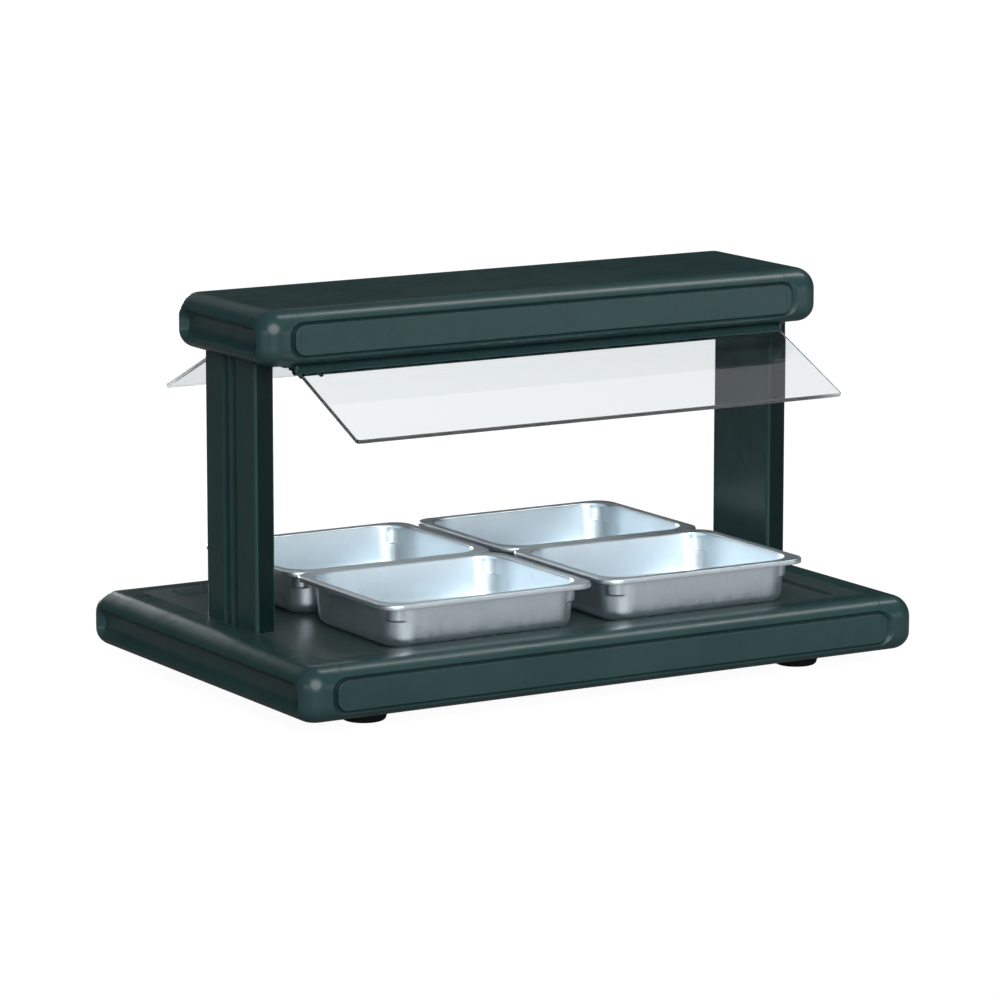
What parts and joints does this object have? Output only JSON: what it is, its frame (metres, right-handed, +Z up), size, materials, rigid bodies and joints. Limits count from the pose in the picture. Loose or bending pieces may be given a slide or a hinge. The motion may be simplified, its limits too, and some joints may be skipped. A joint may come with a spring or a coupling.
{
  "type": "buffet food warmer",
  "caption": "Tabletop food warmer with a heated base, fluted posts, an overhead heat canopy, tilting glass breath guards and lift-out half-size pans.",
  "frame": {"origin": "on the table, under the middle of the warmer", "axes": "+X along the warmer, +Y to the operator's side where the controls are, +Z up"},
  "size_m": [0.963, 0.6374, 0.535],
  "materials": {
    "frame_paint": "dark green-grey powder coat, fine texture, satin",
    "plate_metal": "dark grey hard-coated sheet, satin",
    "guard_glass": "clear tempered sheet, polished edges",
    "pan_steel": "bright drawn stainless",
    "sheet_steel": "mill-finish sheet",
    "fastener_steel": "zinc-plated",
    "reflector_metal": "bright folded sheet",
    "element_steel": "oxidised sheath",
    "bushing_ceramic": "matt steatite",
    "foot_rubber": "matt black",
    "blanket_rubber": "silicone-bonded heater mat",
    "insulation": "mineral fibre board",
    "conduit_plastic": "plain sleeve",
    "control_plastic": "moulded black",
    "rocker_plastic": "moulded black, semi-gloss",
    "lamp_plastic": "amber lens",
    "inner_plastic": "moulded",
    "instrument_metal": "plated housing",
    "capillary_copper": "drawn copper tube"
  },
  "bodies": {
    "warmer": {"base_floor_sheet": "sheet_steel", "base_front_rail": "frame_paint", "base_left_end": "frame_paint", "base_rear_rail": "frame_paint", "base_right_end": "frame_paint", "canopy_ceiling_sheet": "sheet_steel", "canopy_front_rail": "frame_paint", "canopy_left_end": "frame_paint", "canopy_rear_rail": "frame_paint", "canopy_right_end": "frame_paint", "canopy_top_plate": "frame_paint", "control_panel": "control_plastic", "cord_gland": "control_plastic", "cord_gland_nut": "control_plastic", "element_bushings": "bushing_ceramic", "floor_sheet_screws": "fastener_steel", "foot_front_left": "foot_rubber", "foot_front_right": "foot_rubber", "foot_nuts": "fastener_steel", "foot_rear_left": "foot_rubber", "foot_rear_right": "foot_rubber", "foot_screws": "fastener_steel", "front_hinge_brackets": "frame_paint", "heated_plate": "plate_metal", "heater_element": "element_steel", "heating_blanket": "blanket_rubber", "indicator_lamp": "lamp_plastic", "insulation_board": "insulation", "joint_straps": "sheet_steel", "left_post": "frame_paint", "plate_surround": "plate_metal", "post_angles": "sheet_steel", "post_screws": "fastener_steel", "power_switch_body": "control_plastic", "rear_hinge_brackets": "frame_paint", "reflector": "reflector_metal", "right_post": "frame_paint", "riser_conduit": "conduit_plastic", "support_channels": "sheet_steel", "terminal_block": "inner_plastic", "thermostat_body": "instrument_metal", "thermostat_capillary": "capillary_copper", "wire_guard": "fastener_steel"},
    "front_guard": {"front_guard_clamp": "frame_paint", "front_guard_glass": "guard_glass", "front_clamp_screws": "fastener_steel", "front_hinge_pins": "fastener_steel"},
    "rear_guard": {"rear_guard_clamp": "frame_paint", "rear_guard_glass": "guard_glass", "rear_clamp_screws": "fastener_steel", "rear_hinge_pins": "fastener_steel"},
    "heat_knob": {"thermostat_knob": "control_plastic", "thermostat_shaft": "fastener_steel"},
    "switch_rocker": {"power_rocker": "rocker_plastic"},
    "loose_pan_front_left": {"pan_front_left": "pan_steel"},
    "loose_pan_front_right": {"pan_front_right": "pan_steel"},
    "loose_pan_rear_left": {"pan_rear_left": "pan_steel"},
    "loose_pan_rear_right": {"pan_rear_right": "pan_steel"}
  },
  "joints": [
    {"name": "front_guard_hinge", "type": "hinge", "parent": "warmer", "child": "front_guard", "pos_m": [0, -0.11, 0.452], "axis": [-1, 0, 0], "range_deg": [0, 45]},
    {"name": "rear_guard_hinge", "type": "hinge", "parent": "warmer", "child": "rear_guard", "pos_m": [0, 0.11, 0.452], "axis": [1, 0, 0], "range_deg": [0, 45]},
    {"name": "heat_knob_turn", "type": "hinge", "parent": "warmer", "child": "heat_knob", "pos_m": [-0.29, 0.308, 0.0555], "axis": [0, -1, 0], "range_deg": [0, 270]},
    {"name": "switch_rock", "type": "hinge", "parent": "warmer", "child": "switch_rocker", "pos_m": [-0.225, 0.3082, 0.0555], "axis": [1, 0, 0], "range_deg": [0, 16]},
    {"name": "lift_pan_front_left", "type": "slide", "parent": "warmer", "child": "loose_pan_front_left", "axis": [0, 0, 1], "range_m": [0, 0.15]},
    {"name": "lift_pan_front_right", "type": "slide", "parent": "warmer", "child": "loose_pan_front_right", "axis": [0, 0, 1], "range_m": [0, 0.15]},
    {"name": "lift_pan_rear_left", "type": "slide", "parent": "warmer", "child": "loose_pan_rear_left", "axis": [0, 0, 1], "range_m": [0, 0.15]},
    {"name": "lift_pan_rear_right", "type": "slide", "parent": "warmer", "child": "loose_pan_rear_right", "axis": [0, 0, 1], "range_m": [0, 0.15]}
  ]
}
